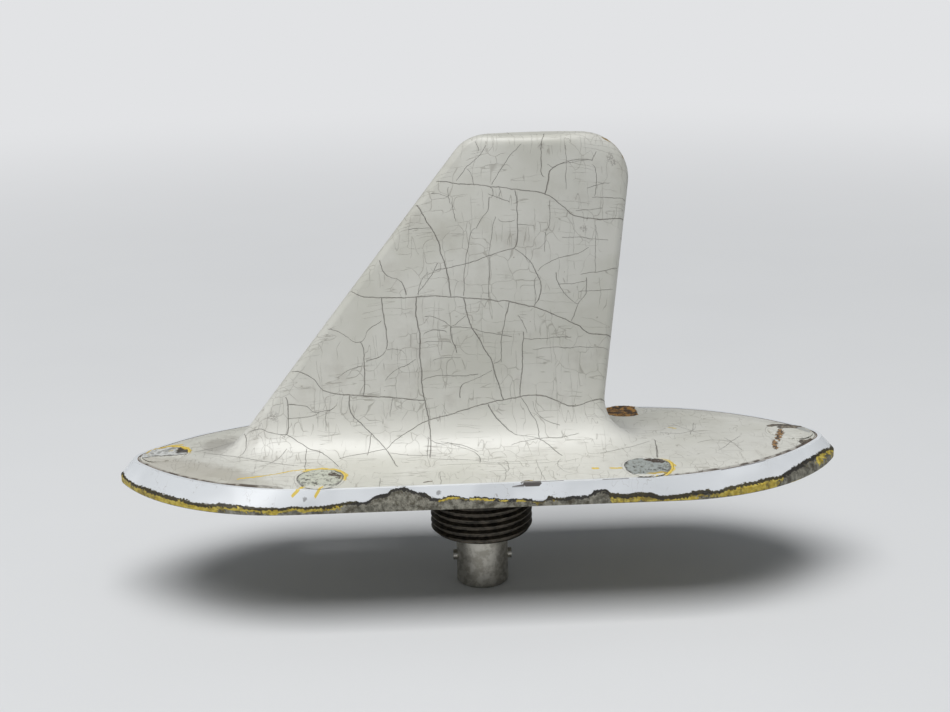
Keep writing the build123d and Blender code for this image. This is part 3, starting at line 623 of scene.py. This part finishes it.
near_edge = (y + (crumb - 0.5) * 1.2).step(-19.3, -19.5)
end_finish(sealant, worn_cream_and_painted_light(place)[0].over(tone, near_edge), 0.5 + crumb * 0.3, crumb, depth=0.25)
for name, hole_x in (("sealant_fore", -0.029), ("sealant_aft", 0.029)):
    filler = press_filler(name, hole_x, -0.0163, 0.00450, 0.07, 0.0003)
    dress(filler, sealant)

# The hole near the nose is filled with pale sealant. Cream paint has run in over its
# near half, a dark chip is left at its aft end and yellow primer along its far rim.
nose_fill, place = start_finish("pale_sealant")
x, y, z = place.axes()
crumb = place.noise(0.9, 4.0, 0.7)
tone = crumb.step(0.44, 0.60).between((206, 207, 204), (150, 150, 146))
tone = tone.under((176, 160, 104), place.noise(1.2, 2.0).step(0.60, 0.66) * 0.6)
tone = tone.under((52, 44, 36), (x + crumb * 1.6).step(-55.6, -55.0) * y.step(-1.0, 0.2) * 0.9)
near_edge = y + (place.noise(0.4, 2.0) - 0.5) * 1.6 + 1.3
# A dark line of painted shade runs along the edge of the cream paint.
tone = tone.under((84, 76, 66), abs(near_edge).step(0.34, 0.10) * 0.7)
tone = worn_cream_and_painted_light(place)[0].over(tone, near_edge.step(0.0, -0.12))
far_rim = (nearest_hole(x, y) + (crumb - 0.5) * 0.8).step(3.7, 3.9) * y.step(1.0, 2.0)
tone = tone.under((205, 172, 56), far_rim * 0.9)
end_finish(nose_fill, tone, 0.5, crumb + near_edge.step(0.0, -0.3) * 2.0, depth=0.12)
filler = press_filler("sealant_nose", -0.0582, 0.0, 0.00466, 0.0, 0.00022, dip=-0.045)
dress(filler, nose_fill)

# The hole behind the fin has rusty orange filler with black in it, and cream
# paint has covered the half of it that lies aft.
rusty_fill, place = start_finish("rusty_filler")
x, y, z = place.axes()
crumb = place.noise(0.7, 4.0, 0.7)
tone = crumb.step(0.52, 0.44).between((78, 58, 38), (166, 120, 52))
tone = tone.under((30, 26, 22), place.noise(1.3, 2.0).step(0.56, 0.60) * 0.8)
covered = (x + (place.noise(0.5, 3.0) - 0.5) * 0.9).step(31.4, 31.6)
cream, rough, _ = worn_cream_and_painted_light(place)
end_finish(rusty_fill, cream.over(tone, covered), rough, crumb + covered * 2.0, depth=0.12)
filler = press_filler("sealant_far", 0.029, 0.0163, 0.00455, -0.06, 0.0002)
dress(filler, rusty_fill)

# The hole near the aft tip has been filled and painted over. The paint on it
# has sunk into rings, and has chipped along the rim.
stopping, place = start_finish("painted_filler")
x, y, z = place.axes()
cream, rough, height = worn_cream_and_painted_light(place)
rings = (nearest_hole(x, y) * 3.6).math("SINE") * place.noise(0.3).step(0.4, 0.6)
cream = cream.under((150, 140, 122), rings.step(0.82, 0.98) * 0.5)
end_finish(stopping, cream, rough, height + rings * 0.2, depth=0.12)
filler = press_filler("painted_filler", 0.0582, 0.0, 0.00468, 0.0, 0.00016, dip=0.045)
dress(filler, stopping)


# The boss under the base is turned brass with a fine thread, coloured dark grey. A plain
# collar and groove sit over the thread, and its free end is chamfered. Its sizes
# are in millimetres: radius, then height.
facets, weld = 96, 0.000005


def draw_line(points):
    """A new mesh drawn point by point in the plane of the base's length and height."""
    bpy.ops.object.select_all(action="DESELECT")
    bpy.ops.mesh.primitive_plane_add(size=0.001)
    bpy.ops.object.mode_set(mode="EDIT")
    bpy.ops.mesh.merge(type="CENTER")
    bpy.ops.transform.translate(value=(points[0][0] / 1000, 0.0, points[0][1] / 1000))
    for (x0, z0), (x1, z1) in zip(points, points[1:]):
        bpy.ops.mesh.extrude_vertices_move(
            TRANSFORM_OT_translate={"value": ((x1 - x0) / 1000, 0.0, (z1 - z0) / 1000)})
    bpy.ops.object.mode_set(mode="OBJECT")
    return bpy.context.object


def turned(points):
    """A closed body turned about the upright axis from a line that starts and ends on it."""
    body = draw_line(points)
    bpy.ops.object.mode_set(mode="EDIT")
    bpy.ops.mesh.select_all(action="SELECT")
    bpy.ops.mesh.spin(steps=facets, angle=2 * math.pi, center=(0, 0, 0), axis=(0, 0, 1))
    bpy.ops.mesh.select_all(action="SELECT")
    bpy.ops.mesh.remove_doubles(threshold=weld)
    bpy.ops.mesh.normals_make_consistent(inside=False)
    bpy.ops.object.mode_set(mode="OBJECT")
    return body


def cut_with(body, tool, operation):
    """One body united with, cut by or kept inside another, which is then thrown away."""
    bpy.ops.object.select_all(action="DESELECT")
    bpy.context.view_layer.objects.active = body
    join = body.modifiers.new("join", "BOOLEAN")
    join.solver = "EXACT"
    join.operation = operation
    join.object = tool
    bpy.ops.object.modifier_apply(modifier="join")
    bpy.data.objects.remove(tool)


crest, groove, pitch = 9.525, 8.76, 1.27
boss = draw_line([(groove, -14.0), (groove, -13.82), (crest, -13.45), (crest, -13.28), (groove, -12.91),
                  (groove, -12.73)])
turns = boss.modifiers.new("turns", "SCREW")
turns.angle = 2 * math.pi
turns.screw_offset = pitch / 1000
turns.iterations = 11
turns.steps = turns.render_steps = facets
turns.use_merge_vertices = True
turns.merge_threshold = weld
bpy.ops.object.modifier_apply(modifier="turns")
bpy.ops.object.mode_set(mode="EDIT")
bpy.ops.mesh.select_all(action="SELECT")
bpy.ops.mesh.remove_doubles(threshold=weld)
for cut, clear in ((-12.6, "inner"), (-1.5, "outer")):
    bpy.ops.mesh.select_all(action="SELECT")
    bpy.ops.mesh.bisect(plane_co=(0, 0, cut / 1000), plane_no=(0, 0, 1), use_fill=True,
                        clear_inner=clear == "inner", clear_outer=clear == "outer")
bpy.ops.mesh.select_all(action="SELECT")
bpy.ops.mesh.normals_make_consistent(inside=False)
bpy.ops.object.mode_set(mode="OBJECT")
boss.name = "boss_with_thread"
cut_with(boss, turned([(0, -2.0), (9.7, -2.0), (9.7, -11.15), (8.625, -12.2), (0, -12.2)]), "INTERSECT")
cut_with(boss, turned([(0, 3.9), (8.0, 3.9), (8.0, 0.0), (crest, 0.0), (crest, -0.8), (8.72, -0.95),
                       (8.72, -12.0), (8.55, -12.2), (0, -12.2)]), "UNION")
cut_with(boss, turned([(0, 5.0), (6.8, 5.0), (6.8, -5.0), (4.5, -5.0), (4.5, -10.2), (6.6, -10.2),
                       (6.6, -13.0), (0, -13.0)]), "DIFFERENCE")
bpy.ops.object.select_all(action="DESELECT")
boss.select_set(True)
bpy.ops.object.shade_smooth_by_angle(angle=0.5)
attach(boss, "root")
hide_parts("threaded_boss")
boss_metal, place = start_finish("dark_grey_brass")
tarnish = place.noise(0.7, 4.0, 0.65)
tone = tarnish.step(0.35, 0.7).between((98, 92, 82), (58, 56, 52))
end_finish(boss_metal, tone, 0.38 + tarnish * 0.2, tarnish, depth=0.03, metal=0.8)
dress(boss, boss_metal)
dress(nodes["threaded_boss"], boss_metal)

# The jack's shell, the ring nut that holds it in the boss, and the nut that holds
# the boss on the plate are turned brass, plated with satin nickel.
nickel, place = start_finish("satin_nickel")
tarnish = place.noise(0.8, 3.0, 0.6)
tone = tarnish.step(0.4, 0.6).between((196, 193, 184), (168, 164, 154))
end_finish(nickel, tone, 0.28 + tarnish * 0.15, tarnish, depth=0.02, metal=1.0)
for name in ("jack_body", "jack_nut", "boss_nut"):
    dress(nodes[name], nickel)

# The jack's insulator and the bead that centres the feed post are turned from
# white PTFE and pressed in.
white_plastic, place = start_finish("white_insulator")
cloud = place.noise(0.6, 3.0)
end_finish(white_plastic, cloud.between((236, 236, 232), (226, 226, 220)), 0.45, cloud, depth=0.02)
for name in ("jack_insulator", "feed_insulator"):
    dress(nodes[name], white_plastic)

# The jack's contact is turned brass, plated with gold. It runs through the
# insulator and up to the feed post.
gold, place = start_finish("gold_plate")
haze = place.noise(1.5, 3.0)
end_finish(gold, haze.between((228, 186, 104), (212, 168, 84)), 0.25 + haze * 0.1, haze,
           depth=0.01, metal=1.0)
dress(nodes["jack_contact"], gold)

# Inside, the post, the plate that radiates, its clip and its strap are brass. The
# sheet pieces are cut and bent, then held with rivets and screws.
brass, place = start_finish("sheet_brass")
x, y, z = place.axes()
rolled = place.at(x * 0.2, y, z * 3.0).noise(0.8, 3.0)
end_finish(brass, rolled.between((206, 172, 100), (186, 152, 84)), 0.3 + rolled * 0.2, rolled,
           depth=0.01, metal=1.0)
for name in ("feed_post", "radiator", "radiator_clip", "clip_rivets", "ground_strap", "strap_rivet"):
    dress(nodes[name], brass)

# The screws of the clip and of the strap, and the jack's lock washer, are plain
# steel with a dull zinc coat.
steel, place = start_finish("zinc_steel")
dull = place.noise(1.2, 3.0)
end_finish(steel, dull.between((182, 182, 180), (150, 150, 148)), 0.35 + dull * 0.2, dull,
           depth=0.01, metal=1.0)
for name in ("feed_screw", "strap_screw", "jack_washer"):
    dress(nodes[name], steel)

# The gaskets of the boss and of the jack are rings of black rubber. Each lies on a
# shoulder and is squeezed against what is above it.
rubber, place = start_finish("black_rubber")
bloom = place.noise(1.0, 3.0)
end_finish(rubber, bloom.between((46, 46, 44), (28, 28, 27)), 0.75, bloom, depth=0.03)
for name in ("boss_gasket", "jack_gasket"):
    dress(nodes[name], rubber)

# A core of tan foam fills the hollow fin and holds the radiating plate in the
# middle of it.
foam, place = start_finish("tan_foam")
bubbles = place.add("ShaderNodeTexVoronoi", {"Vector": place, "Scale": 1.8}, feature="F1")
tan = bubbles.step(0.1, 0.6).between((222, 206, 164), (196, 176, 132))
end_finish(foam, tan, 0.85, bubbles, depth=0.15)
dress(nodes["foam_core"], foam)

# A plain pale floor lies under the end of the jack. Far from the part it fades into
# a plain glow that only the camera, gloss and glass see, so that it has no horizon.
bpy.ops.object.select_all(action="DESELECT")
bpy.ops.mesh.primitive_plane_add(size=12.0, location=(0.0, 0.0, cad_box[0].z))
floor = bpy.context.object
floor.name = "floor"
bpy.ops.object.transform_apply(location=True, rotation=True, scale=True)
floor_finish, place = start_finish("pale_floor")
end_finish(floor_finish, place.noise(0.02, 2.0).between((226, 227, 228), (222, 223, 224)), 0.9)
tree = floor_finish.node_tree
seen = functools.reduce(Wire.most, [place.add("ShaderNodeLightPath", {}, ray) for ray in (
    "Is Camera Ray", "Is Glossy Ray", "Is Transmission Ray")])
glow = place.add("ShaderNodeEmission", {"Color": colour(226, 227, 229), "Strength": 1.0})
faded = place.add("ShaderNodeMixShader", {0: seen * place.length().step(160.0, 700.0),
                                          1: Wire(tree.nodes["Principled BSDF"].outputs[0]), 2: glow})
tree.links.new(faded.socket, tree.nodes["Material Output"].inputs["Surface"])
dress(floor, floor_finish)

# One wide soft lamp hangs above the part, toward the camera and to its left. The
# world gives a weak cool light from all round.
lamp_data = bpy.data.lights.new("overhead", "AREA")
lamp_data.shape = "RECTANGLE"
lamp_data.size, lamp_data.size_y = 1.3, 1.0
lamp_data.energy = 24.5
lamp = bpy.data.objects.new("overhead", lamp_data)
lamp.location = (-0.22, -0.47, 1.50)
lamp.rotation_euler = (0.31, -0.14, 0.0)
bpy.context.scene.collection.objects.link(lamp)
world = bpy.data.worlds.new("studio")
world.use_nodes = True
world.node_tree.nodes["Background"].inputs["Color"].default_value = (0.90, 0.95, 1.0, 1.0)
world.node_tree.nodes["Background"].inputs["Strength"].default_value = 0.18
bpy.context.scene.world = world

bpy.context.scene.view_settings.view_transform = "Standard"
